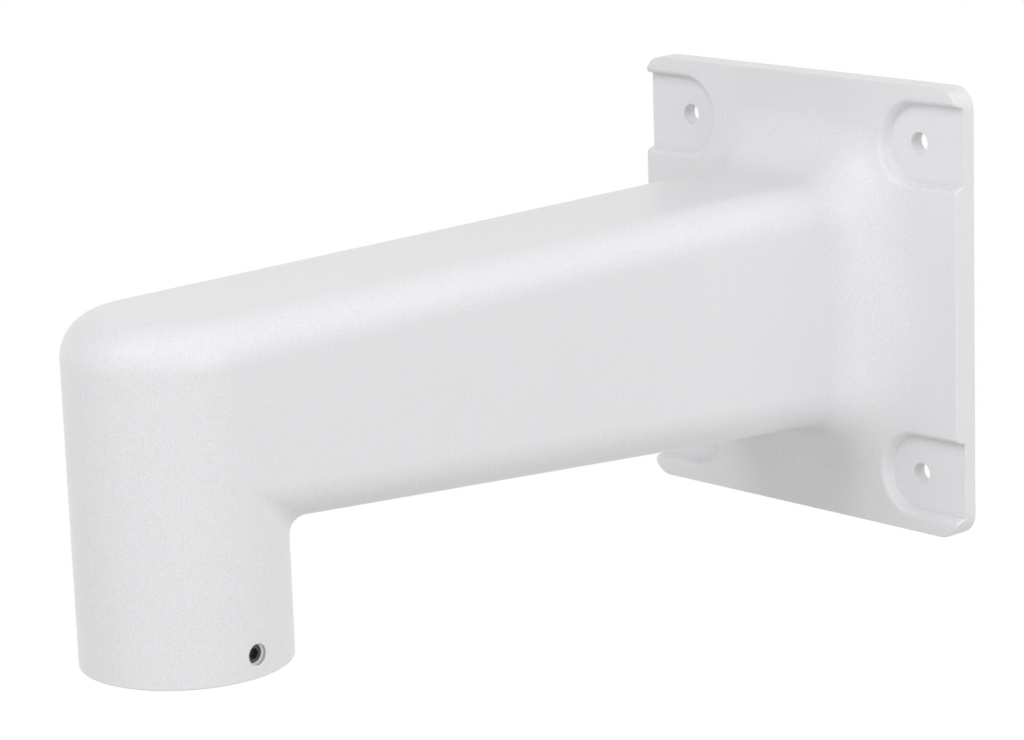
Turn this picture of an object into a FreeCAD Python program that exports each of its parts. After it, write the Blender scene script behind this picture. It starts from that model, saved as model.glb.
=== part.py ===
import FreeCAD, Part
import math
import os

# Cast wall bracket for a pendant camera, in millimetres.
# The origin is the middle of the plate's back face, which lies on the wall at y = 0.
# +Z is up, the arm reaches out along -Y and the hollow neck opens downwards.

V = FreeCAD.Vector

# Wall plate
plate_width = 133.0
plate_height = 141.5
plate_thickness = 8.5
plate_corner_radius = 7.0
plate_edge_round = 0.5

# Wall bolts, each in a recess that runs out through the side edge of the plate: how far apart
# they sit across the plate, and how far in from its top and bottom edges
bolt_spacing_x = 98.0
bolt_from_plate_end = 18.25
bolt_hole_diameter = 6.6
recess_depth = 3.5
recess_end_radius = 12.0
recess_wall_lean = 0.3
recess_rim_round = 1.7

# Relief cast into the back of the plate
back_relief_depth = 3.0
back_rim_width = 6.0
back_collar_width = 6.0
back_pad_margin = 2.5
back_rib_width = 4.0
back_corner_round = 2.0

# Arm: heights of its top and bottom edges at the wall and at the neck's axis
arm_top_at_wall = 40.3
arm_top_at_neck = 37.1
arm_bottom_at_wall = -40.4
arm_bottom_at_neck = -21.9
arm_top_round = 12.5
arm_bottom_round = 13.0
arm_plate_fillet = 20.0
wall_thickness = 4.0

# Neck: a round socket with an inside thread for the camera's pendant cap
neck_diameter = 60.0
neck_axis_y = -258.8
neck_bottom_z = -62.5
neck_rim_round = 0.5
neck_arm_fillet = 5.5
thread_diameter = 48.3
thread_length = 28.0
thread_lead_in = 1.0
cable_bore_diameter = 44.5
cable_bore_round = 2.0

# Set screw through the neck's side, which locks the thread; the turn is in degrees about the
# neck's axis, from the +X side towards the wall
screw_diameter = 6.0
screw_length = 4.0
screw_chamfer = 0.6
screw_socket_flats = 3.0
screw_socket_depth = 2.0
screw_above_rim = 6.7
screw_turn = 2.9
screw_side_gap = 0.05
screw_tip_gap = 0.05
screw_hole_countersink = 0.3

# Cutting shapes reach this far, past every face of the bracket
far = 1000.0

# A point this close to a face counts as on it
on_face = 1e-3

# Values that follow from the sizes above
neck_radius = neck_diameter / 2
thread_radius = thread_diameter / 2
cable_bore_radius = cable_bore_diameter / 2
plate_front_y = -plate_thickness
recess_floor_y = plate_front_y + recess_depth
past_wall_y = plate_thickness
bolt_spacing_z = plate_height - 2 * bolt_from_plate_end
screw_z = neck_bottom_z + screw_above_rim


def arm_top(y):
    return arm_top_at_wall + (arm_top_at_neck - arm_top_at_wall) * y / neck_axis_y


def arm_bottom(y):
    return arm_bottom_at_wall + (arm_bottom_at_neck - arm_bottom_at_wall) * y / neck_axis_y


def middle_of(edge):
    return edge.valueAt((edge.FirstParameter + edge.LastParameter) / 2)


def edges_where(shape, test):
    """Edges of a shape whose ends and middle all pass a test."""
    return [edge for edge in shape.Edges
            if test(middle_of(edge)) and all(test(vertex.Point) for vertex in edge.Vertexes)]


def box_between(x0, x1, y0, y1, z0, z1):
    return Part.makeBox(x1 - x0, y1 - y0, z1 - z0, V(x0, y0, z0))


def neck_cylinder(radius, height):
    """A cylinder on the neck's axis, up from the neck's rim."""
    return Part.makeCylinder(radius, height, V(0, neck_axis_y, neck_bottom_z))


def on_neck_cylinder(point, radius):
    return abs(math.hypot(point.x, point.y - neck_axis_y) - radius) < on_face


def u_outline(centre, radius, side_x, y):
    """Half circle round a centre, closed by straight legs that run out to one side."""
    x, z = centre
    far_x = side_x * far
    return Part.Wire([
        Part.LineSegment(V(far_x, y, z + radius), V(x, y, z + radius)).toShape(),
        Part.Arc(V(x, y, z + radius), V(x - side_x * radius, y, z),
                 V(x, y, z - radius)).toShape(),
        Part.LineSegment(V(x, y, z - radius), V(far_x, y, z - radius)).toShape(),
        Part.LineSegment(V(far_x, y, z - radius), V(far_x, y, z + radius)).toShape(),
    ])


def arm_body(inset, back_y):
    """The arm from its round outer end to back_y, with every wall moved in by inset."""
    half_width = neck_radius - inset
    outer_y = neck_axis_y - neck_diameter
    side = Part.Face(Part.makePolygon([
        V(-far, outer_y, arm_top(outer_y) - inset),
        V(-far, back_y, arm_top(back_y) - inset),
        V(-far, back_y, arm_bottom(back_y) + inset),
        V(-far, outer_y, arm_bottom(outer_y) + inset),
        V(-far, outer_y, arm_top(outer_y) - inset),
    ])).extrude(V(2 * far, 0, 0))
    neck_end = Part.makeCylinder(half_width, 2 * far, V(0, neck_axis_y, -far))
    straight = box_between(-half_width, half_width, neck_axis_y, back_y, -far, far)
    body = side.common(straight.fuse(neck_end).removeSplitter())

    def long_edges(height, shift):
        found = edges_where(body, lambda p: abs(p.z - height(p.y) - shift) < on_face)
        return [edge for edge in found if middle_of(edge).y < back_y - on_face]

    body = body.makeFillet(arm_top_round - inset, long_edges(arm_top, -inset))
    return body.makeFillet(arm_bottom_round - inset, long_edges(arm_bottom, inset))


def arm_with_neck():
    """Arm and neck, with a fillet where the underside of the arm meets the neck."""
    neck = neck_cylinder(neck_radius, -neck_bottom_z)
    body = arm_body(0.0, 0.0).fuse(neck).removeSplitter()
    # The arm's sides run smoothly into the neck, so the fillet starts a little ahead of them
    fillet_start_y = neck_axis_y + neck_radius / 10
    ahead = box_between(-far, far, fillet_start_y, far, -far, far)
    front, rest = body.common(ahead), body.cut(ahead)
    corner = [edge for edge in edges_where(front, lambda p: on_neck_cylinder(p, neck_radius))
              if middle_of(edge).y > fillet_start_y + on_face
              and neck_bottom_z + on_face < middle_of(edge).z < 0]
    body = rest.fuse(front.makeFillet(neck_arm_fillet, corner)).removeSplitter()
    rim = edges_where(body, lambda p: abs(p.z - neck_bottom_z) < on_face)
    return body.makeFillet(neck_rim_round, rim)


def rounded_slab(width, height, radius, y_front, y_back):
    """A slab with rounded upright corners between two distances from the wall."""
    slab = box_between(-width / 2, width / 2, y_front, y_back, -height / 2, height / 2)
    corners = edges_where(slab, lambda p: abs(abs(p.x) - width / 2) < on_face
                          and abs(abs(p.z) - height / 2) < on_face)
    return slab.makeFillet(radius, corners)


def bolt_places():
    """Each bolt's side of the plate and the x and z of its centre."""
    return [(side_x, (side_x * bolt_spacing_x / 2, side_z * bolt_spacing_z / 2))
            for side_x in (-1, 1) for side_z in (-1, 1)]


def recess_cutter(side_x, centre):
    """Space above the floor of a bolt recess, whose walls lean outwards."""
    reach = recess_depth + arm_plate_fillet
    floor = u_outline(centre, recess_end_radius, side_x, recess_floor_y)
    mouth = u_outline(centre, recess_end_radius + recess_wall_lean * reach, side_x,
                      recess_floor_y - reach)
    return Part.makeLoft([floor, mouth], True, True)


def on_recess_wall(point):
    """True on the leaning wall of any bolt recess, clear of its floor."""
    rise = recess_floor_y - point.y
    across = max(0.0, bolt_spacing_x / 2 - abs(point.x))
    up = abs(point.z) - bolt_spacing_z / 2
    wall_radius = recess_end_radius + recess_wall_lean * rise
    return rise > recess_depth / 2 and abs(math.hypot(across, up) - wall_radius) < on_face


def on_plate_outline(point):
    """True on the plate's side faces and rounded corners."""
    across = plate_width / 2 - plate_corner_radius
    up = plate_height / 2 - plate_corner_radius
    past_x, past_z = max(0.0, abs(point.x) - across), max(0.0, abs(point.z) - up)
    return abs(math.hypot(past_x, past_z) - plate_corner_radius) < on_face


def outer_form():
    """Plate, arm and neck as one solid, before anything is hollowed out."""
    plate = rounded_slab(plate_width, plate_height, plate_corner_radius, plate_front_y, 0.0)
    body = arm_with_neck().fuse(plate).removeSplitter()
    foot = edges_where(body, lambda p: abs(p.y - plate_front_y) < on_face
                       and not on_plate_outline(p))
    body = body.makeFillet(arm_plate_fillet, foot)
    for side_x, centre in bolt_places():
        body = body.cut(recess_cutter(side_x, centre))
    rims = [edge for edge in edges_where(body, on_recess_wall)
            if not on_plate_outline(middle_of(edge))]
    body = body.makeFillet(recess_rim_round, rims)
    front_edges = [edge for edge in edges_where(body, on_plate_outline)
                   if middle_of(edge).y < recess_floor_y - on_face
                   and edge.BoundBox.XLength + edge.BoundBox.ZLength > on_face]
    return body.makeFillet(plate_edge_round, front_edges)


def cable_passage():
    """Hollow of the arm from the wall to the neck, and the bore down through the neck."""
    bore = neck_cylinder(cable_bore_radius, -neck_bottom_z)
    hollow = arm_body(wall_thickness, past_wall_y).fuse(bore).removeSplitter()
    ledge = [edge for edge in edges_where(hollow, lambda p: on_neck_cylinder(p, cable_bore_radius))
             if middle_of(edge).z > neck_bottom_z + on_face]
    hollow = hollow.makeFillet(cable_bore_round, ledge)
    thread = neck_cylinder(thread_radius, thread_length)
    lead_in = Part.makeCone(thread_radius + thread_lead_in, thread_radius, thread_lead_in,
                            V(0, neck_axis_y, neck_bottom_z))
    return hollow.fuse([thread, lead_in])


def back_relief():
    """Shallow hollow in the plate's back, clear of its rim, bolt pads, collar and ribs."""
    relief = rounded_slab(plate_width - 2 * back_rim_width, plate_height - 2 * back_rim_width,
                          plate_corner_radius, -back_relief_depth, past_wall_y)
    collar = arm_body(wall_thickness - back_collar_width, past_wall_y)
    pad_radius = recess_end_radius + back_pad_margin
    pads = [Part.Face(u_outline(centre, pad_radius, side_x, -far)).extrude(V(0, 2 * far, 0))
            for side_x, centre in bolt_places()]
    half_rib = back_rib_width / 2
    ribs = [box_between(-half_rib, half_rib, -far, far, -far, far),
            box_between(-far, far, -far, far, -half_rib, half_rib)]
    relief = relief.cut([collar] + pads + ribs)
    upright = [edge for edge in relief.Edges if edge.BoundBox.YLength > back_relief_depth
               and edge.BoundBox.XLength + edge.BoundBox.ZLength < on_face]
    return relief.makeFillet(back_corner_round, upright)


def turned_to_screw(shape):
    """A shape made on the +X side of the neck, turned about the neck to the set screw's place."""
    return shape.rotated(V(0, neck_axis_y, 0), V(0, 0, 1), screw_turn)


def along_x(radius, length, x):
    """A cylinder through the neck's side, from x outwards, before it is turned to its place."""
    return Part.makeCylinder(radius, length, V(x, neck_axis_y, screw_z), V(1, 0, 0))


def screw_hole():
    """Tapped hole through the neck's side, with a small countersink at its mouth."""
    radius = screw_diameter / 2 + screw_side_gap
    mouth = Part.makeCone(radius, radius + 2 * screw_hole_countersink, 2 * screw_hole_countersink,
                          V(neck_radius - screw_hole_countersink, neck_axis_y, screw_z), V(1, 0, 0))
    return turned_to_screw(along_x(radius, neck_radius, cable_bore_radius / 2).fuse(mouth))


def bracket_casting():
    """The whole casting: outer form, cable passage, back relief and holes."""
    casting = outer_form().cut(cable_passage()).cut(back_relief())
    for side_x, (x, z) in bolt_places():
        casting = casting.cut(Part.makeCylinder(bolt_hole_diameter / 2, 2 * far,
                                                V(x, -far, z), V(0, 1, 0)))
    return casting.cut(screw_hole())


def locking_set_screw():
    """Headless screw with a hexagon socket in its outer end and a chamfer at both ends."""
    tip_x = thread_radius + screw_tip_gap
    screw = along_x(screw_diameter / 2, screw_length, tip_x)
    ends = edges_where(screw, lambda p: abs(p.x - tip_x) < on_face
                       or abs(p.x - tip_x - screw_length) < on_face)
    screw = screw.makeChamfer(screw_chamfer, ends)
    corner_radius = screw_socket_flats / math.sqrt(3)
    corners = [V(tip_x + screw_length, neck_axis_y + corner_radius * math.cos(turn),
                 screw_z + corner_radius * math.sin(turn))
               for turn in (math.radians(60 * step) for step in range(7))]
    socket = Part.Face(Part.makePolygon(corners)).extrude(V(-screw_socket_depth, 0, 0))
    return turned_to_screw(screw.cut(socket))


os.makedirs("parts", exist_ok=True)
for name, make in (("bracket_casting", bracket_casting), ("locking_set_screw", locking_set_screw)):
    solid = make()
    print(name, solid.isValid(), len(solid.Solids), len(solid.Faces), round(solid.Volume, 1))
    solid.exportStep("parts/" + name + ".step")
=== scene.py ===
import bmesh
import bpy
import math
from mathutils import Matrix, Vector


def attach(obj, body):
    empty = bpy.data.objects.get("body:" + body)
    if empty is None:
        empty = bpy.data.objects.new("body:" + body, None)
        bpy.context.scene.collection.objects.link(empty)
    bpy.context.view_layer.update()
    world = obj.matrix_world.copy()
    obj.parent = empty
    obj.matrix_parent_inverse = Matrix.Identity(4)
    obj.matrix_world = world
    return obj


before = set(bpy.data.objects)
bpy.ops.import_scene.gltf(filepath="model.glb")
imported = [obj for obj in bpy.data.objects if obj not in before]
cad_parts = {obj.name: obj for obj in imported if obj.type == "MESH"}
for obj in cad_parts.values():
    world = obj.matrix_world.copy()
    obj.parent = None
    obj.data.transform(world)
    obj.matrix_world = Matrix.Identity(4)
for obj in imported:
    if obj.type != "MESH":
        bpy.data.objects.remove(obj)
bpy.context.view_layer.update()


# Wall plate, arm and neck: one sand-cast aluminium bracket, sprayed with white powder and
# baked, so one satin skin of paint covers it and the edges and the bolt holes.
def linear(hex_colour):
    """Linear colour of an sRGB hex value such as #E3E3E3."""
    channels = [int(hex_colour[i:i + 2], 16) / 255 for i in (1, 3, 5)]
    return tuple(c / 12.92 if c <= 0.04045 else ((c + 0.055) / 1.055) ** 2.4
                 for c in channels) + (1.0,)


def add(material, kind, links=(), **settings):
    """Adds a node: links are (input, source node, source output), settings are inputs by name."""
    tree = material.node_tree
    node = tree.nodes.new(kind)
    for name, value in settings.items():
        if name in node.bl_rna.properties:
            setattr(node, name, value)
        else:
            node.inputs[name.replace("_", " ")].default_value = value
    for socket, source, output in links:
        tree.links.new(source.outputs[output], node.inputs[socket])
    return node


def new_material(name):
    """An empty material with its output node."""
    material = bpy.data.materials.new(name)
    material.use_nodes = True
    material.node_tree.nodes.clear()
    return material


powder_coat_dark = "#DBDADC"
powder_coat_light = "#F4F3F6"
grain_size = 0.0005
grain_height = 0.00004

# Powder coat: satin polyester paint with a fine grain, about 0.3 mm across in truth and drawn at
# 0.5 mm so that it shows. The eye sees a soft even white with wide, weak highlights.
powder_coat = new_material("white_satin_powder_coat")
place = add(powder_coat, "ShaderNodeTexCoord")
grain = add(powder_coat, "ShaderNodeTexNoise", [("Vector", place, "Object")],
            Scale=1 / grain_size, Detail=1.0)
grain_bump = add(powder_coat, "ShaderNodeBump", [("Height", grain, "Fac")],
                 Strength=1.0, Distance=grain_height)
grain_colour = add(powder_coat, "ShaderNodeMixRGB", [("Fac", grain, "Fac")],
                   Color1=linear(powder_coat_dark), Color2=linear(powder_coat_light))
paint = add(powder_coat, "ShaderNodeBsdfPrincipled",
            [("Normal", grain_bump, "Normal"), ("Base Color", grain_colour, "Color")],
            Roughness=0.3, IOR=1.5)
add(powder_coat, "ShaderNodeOutputMaterial", [("Surface", paint, "BSDF")])

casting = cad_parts["bracket_casting"]
casting.data.materials.clear()
casting.data.materials.append(powder_coat)
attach(casting, "root")


# Set screw: a short M6 headless screw of black-oxide steel with a hexagon socket, turned into
# the neck's side to lock the camera's pendant cap.
screw_steel_colour = "#776E66"

# Black-oxide steel: rolled and heat-treated, with a thin oily oxide. The eye sees a dark, warm
# grey metal with a dull sheen.
screw_steel = new_material("black_oxide_steel")
steel = add(screw_steel, "ShaderNodeBsdfPrincipled",
            Base_Color=linear(screw_steel_colour), Metallic=1.0, Roughness=0.65)
add(screw_steel, "ShaderNodeOutputMaterial", [("Surface", steel, "BSDF")])

set_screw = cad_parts["locking_set_screw"]
set_screw.data.materials.clear()
set_screw.data.materials.append(screw_steel)
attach(set_screw, "root")


# Pendant thread: the 1.5 inch pipe thread, 11.5 turns to the inch, that is cut in the neck's
# mouth and that the camera's pendant cap screws into. It is cut last, so it is bare metal.
neck_reach = 0.2588
mouth_height = -0.0615
pipe_root_radius = 0.02415
pipe_overlap = 0.00004
pipe_thread_depth = 0.00170
pipe_pitch = 0.0254 / 11.5
pipe_length = 0.0265
pipe_mouth = Matrix.Translation((0, -neck_reach, mouth_height))
machined_colour = "#C8C9CB"


def thread_ridge(name, root_radius, depth, pitch, length, steps, place):
    """The ridge of a tapped hole, wound up the Z axis from 0 to length, then put in place."""
    foot, crest = 0.47, 0.06  # half widths at the hole's wall and at the tip, in pitches
    tip_radius = root_radius - depth
    ridge = bmesh.new()
    profile = [(root_radius, -foot), (tip_radius, -crest),
               (tip_radius, crest), (root_radius, foot)]
    corners = [ridge.verts.new((radius, 0, pitch * (0.5 + z))) for radius, z in profile]
    start = ridge.faces.new(corners)
    turns = length / pitch - 1
    count = round(turns * steps)
    bmesh.ops.spin(ridge, geom=[start] + start.edges[:] + corners, cent=(0, 0, 0),
                   axis=(0, 0, 1), dvec=(0, 0, pitch * turns / count),
                   angle=math.tau * turns, steps=count)
    bmesh.ops.recalc_face_normals(ridge, faces=ridge.faces)
    ridge.transform(place)
    data = bpy.data.meshes.new(name)
    ridge.to_mesh(data)
    ridge.free()
    piece = bpy.data.objects.new(name, data)
    bpy.context.scene.collection.objects.link(piece)
    return piece


# Machined aluminium: a fresh cut by a tap, with fine turning marks. The eye sees a light grey
# metal that is brighter and sharper than the paint round it.
machined_aluminium = new_material("machined_aluminium")
cut_metal = add(machined_aluminium, "ShaderNodeBsdfPrincipled",
                Base_Color=linear(machined_colour), Metallic=1.0, Roughness=0.32)
add(machined_aluminium, "ShaderNodeOutputMaterial", [("Surface", cut_metal, "BSDF")])

pipe_thread = thread_ridge("pendant_thread", pipe_root_radius + pipe_overlap,
                           pipe_thread_depth, pipe_pitch, pipe_length, 72, pipe_mouth)
pipe_thread.data.materials.append(machined_aluminium)
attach(pipe_thread, "root")


# Set-screw thread: the M6 thread that shows on the wall of the set screw's hole, outside the
# screw. It is tapped through the painted casting, so its turns are bare metal too.
tap_height = -0.0558
tap_inner_end = 0.02655
tap_root_radius = 0.00305
tap_overlap = 0.00002
tap_thread_depth = 0.00052
tap_pitch = 0.0010
tap_length = 0.0030
tap_turn = math.radians(2.9)
tap_start = (Matrix.Translation((0, -neck_reach, tap_height))
             @ Matrix.Rotation(tap_turn, 4, "Z") @ Matrix.Translation((tap_inner_end, 0, 0))
             @ Matrix.Rotation(math.pi / 2, 4, "Y"))

tapped_thread = thread_ridge("set_screw_thread", tap_root_radius + tap_overlap,
                             tap_thread_depth, tap_pitch, tap_length, 36, tap_start)
tapped_thread.data.materials.append(machined_aluminium)
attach(tapped_thread, "root")


# Studio: a pale floor far below the bracket, which hangs clear of it as on its wall, so that its
# shadow falls out of the picture.
floor_size = 6.0
floor_depth = 2.2
floor_colour = "#F2EFEC"

floor_mesh = bmesh.new()
bmesh.ops.create_grid(floor_mesh, x_segments=1, y_segments=1, size=floor_size,
                      matrix=Matrix.Translation((0, 0, -floor_depth)))
floor_data = bpy.data.meshes.new("studio_floor")
floor_mesh.to_mesh(floor_data)
floor_mesh.free()
floor = bpy.data.objects.new("studio_floor", floor_data)
bpy.context.scene.collection.objects.link(floor)

# Matt paper: rolled pale card without gloss, which the eye sees as plain white.
paper = new_material("matt_white_card")
ray = add(paper, "ShaderNodeLightPath")
card = add(paper, "ShaderNodeBsdfDiffuse", Color=linear(floor_colour))
white = add(paper, "ShaderNodeEmission", Color=(1, 1, 1, 1), Strength=1.0)
seen = add(paper, "ShaderNodeMath", [(0, ray, "Is Camera Ray"), (1, ray, "Is Glossy Ray")],
           operation="MAXIMUM")
cover = add(paper, "ShaderNodeMixShader", [(0, seen, 0), (1, card, 0), (2, white, 0)])
add(paper, "ShaderNodeOutputMaterial", [("Surface", cover, "Shader")])
floor_data.materials.append(paper)

# Room: weak even light from all round, and a white background where the camera, a reflection or
# a look through glass meets it.
room_light = 0.28
world = bpy.data.worlds.new("white_studio")
bpy.context.scene.world = world
world.use_nodes = True
world.node_tree.nodes.clear()
room_ray = add(world, "ShaderNodeLightPath")
room_seen = add(world, "ShaderNodeMath",
                [(0, room_ray, "Is Camera Ray"), (1, room_ray, "Is Glossy Ray")],
                operation="MAXIMUM")
room_white = add(world, "ShaderNodeMath",
                 [(0, room_seen, 0), (1, room_ray, "Is Transmission Ray")],
                 operation="MAXIMUM")
room = add(world, "ShaderNodeBackground", Color=(1, 1, 1, 1), Strength=room_light)
backdrop = add(world, "ShaderNodeBackground", Color=(1, 1, 1, 1), Strength=1.0)
room_mix = add(world, "ShaderNodeMixShader",
               [(0, room_white, 0), (1, room, 0), (2, backdrop, 0)])
add(world, "ShaderNodeOutputWorld", [("Surface", room_mix, "Shader")])


# Soft boxes: nine square lamps all round the bracket, aimed at its middle, for broad light with
# soft shadows. Reflections don't see them, so that the satin paint shows only the white room.
box_size = 1.0
box_distance = 1.7
box_aim = Vector((0, -0.14, 0))


def soft_box(name, turn, height, power):
    """Adds a lamp at a turn and a height in degrees: turn 0 is straight ahead of the plate and
    90 is on its right."""
    light = bpy.data.lights.new(name, "AREA")
    light.shape = "SQUARE"
    light.size = box_size
    light.energy = power
    turn, height = math.radians(turn), math.radians(height)
    outwards = Vector((math.sin(turn) * math.cos(height),
                       -math.cos(turn) * math.cos(height), math.sin(height)))
    lamp = bpy.data.objects.new(name, light)
    lamp.location = box_aim + box_distance * outwards
    lamp.rotation_euler = (-outwards).to_track_quat("-Z", "Y").to_euler()
    lamp.visible_glossy = False
    bpy.context.scene.collection.objects.link(lamp)


soft_box("high_front", 0, 45, 12.3)
soft_box("front_right", 45, 15, 2.8)
soft_box("right", 90, 15, 10.0)
soft_box("back_right", 135, 35, 6.8)
soft_box("low_right", 70, -20, 2.6)
soft_box("low_front", 0, -40, 4.2)
soft_box("front_left", -45, 15, 3.2)
soft_box("left", -110, 10, 3.6)
soft_box("behind", 180, 5, 5.0)


# Camera: a long lens where the photograph was taken from, ahead of the bracket, to its right and
# a little above it.
camera_place = (0.76500, -0.83077, 0.23570)
camera_turn = math.radians(47.631)
camera_height = math.radians(12.993)
camera_tilt = math.radians(-1.974)
camera_data = bpy.data.cameras.new("camera")
camera_data.sensor_width = 36.0
camera_data.lens = 125.625
camera_data.clip_start = 0.05
camera = bpy.data.objects.new("camera", camera_data)
bpy.context.scene.collection.objects.link(camera)
bpy.context.scene.camera = camera
level = Vector((math.cos(camera_turn), math.sin(camera_turn), 0))
back = Vector((math.sin(camera_turn) * math.cos(camera_height),
               -math.cos(camera_turn) * math.cos(camera_height),
               math.sin(camera_height)))
above = back.cross(level)
right = math.cos(camera_tilt) * level + math.sin(camera_tilt) * above
up = -math.sin(camera_tilt) * level + math.cos(camera_tilt) * above
camera.matrix_world = (Matrix.Translation(camera_place)
                       @ Matrix((right, up, back)).transposed().to_4x4())

bpy.context.scene.view_settings.view_transform = "Standard"
